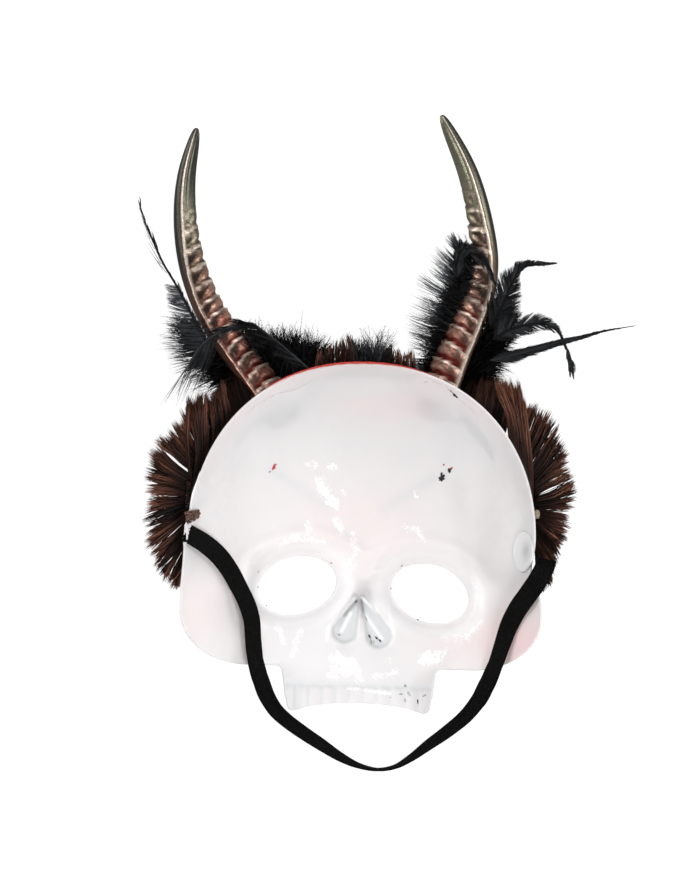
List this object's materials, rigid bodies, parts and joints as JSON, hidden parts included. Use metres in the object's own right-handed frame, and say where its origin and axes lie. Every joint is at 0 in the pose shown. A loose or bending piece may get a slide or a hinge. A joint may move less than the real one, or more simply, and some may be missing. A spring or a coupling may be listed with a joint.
{
  "type": "half skull mask",
  "caption": "Skull half mask in thin moulded plastic with ribbed horns, a bristle fringe, black feathers and an elastic head strap.",
  "frame": {"origin": "on the ground under the middle of the object's box, the strap left out; the mask lies face down", "axes": "+Y from the jaw towards the horn tips, +Z out of the mask's open back, +X towards the wearer's right"},
  "size_m": [0.2508, 0.3302, 0.0644],
  "materials": {
    "shell_plastic": "glossy white, thin moulded, faint pink show-through",
    "horn_paint": "metallic paint, copper red at the base to olive grey at the tip",
    "bristle": "coarse dark brown bristle",
    "feather": "black feather",
    "tape": "woven brown tape",
    "clear_plastic": "translucent, smooth",
    "elastic": "black woven elastic"
  },
  "bodies": {
    "root": {"mask_shell": "shell_plastic", "horn_left": "horn_paint", "horn_right": "horn_paint", "bristle_fringe_left": "bristle", "bristle_fringe_top": "bristle", "bristle_fringe_right": "bristle", "feather_left_spire": "feather", "feather_left_down": "feather", "feather_left_crossing": "feather", "feather_left_inner": "feather", "feather_top": "feather", "feather_right_plume": "feather", "feather_right_arching": "feather", "feather_right_curled": "feather", "feather_right_drooping": "feather", "feather_right_spire": "feather", "feather_right_down": "feather", "fringe_tape_end": "tape", "strap_rivet": "clear_plastic", "elastic_strap": "elastic"}
  },
  "joints": []
}
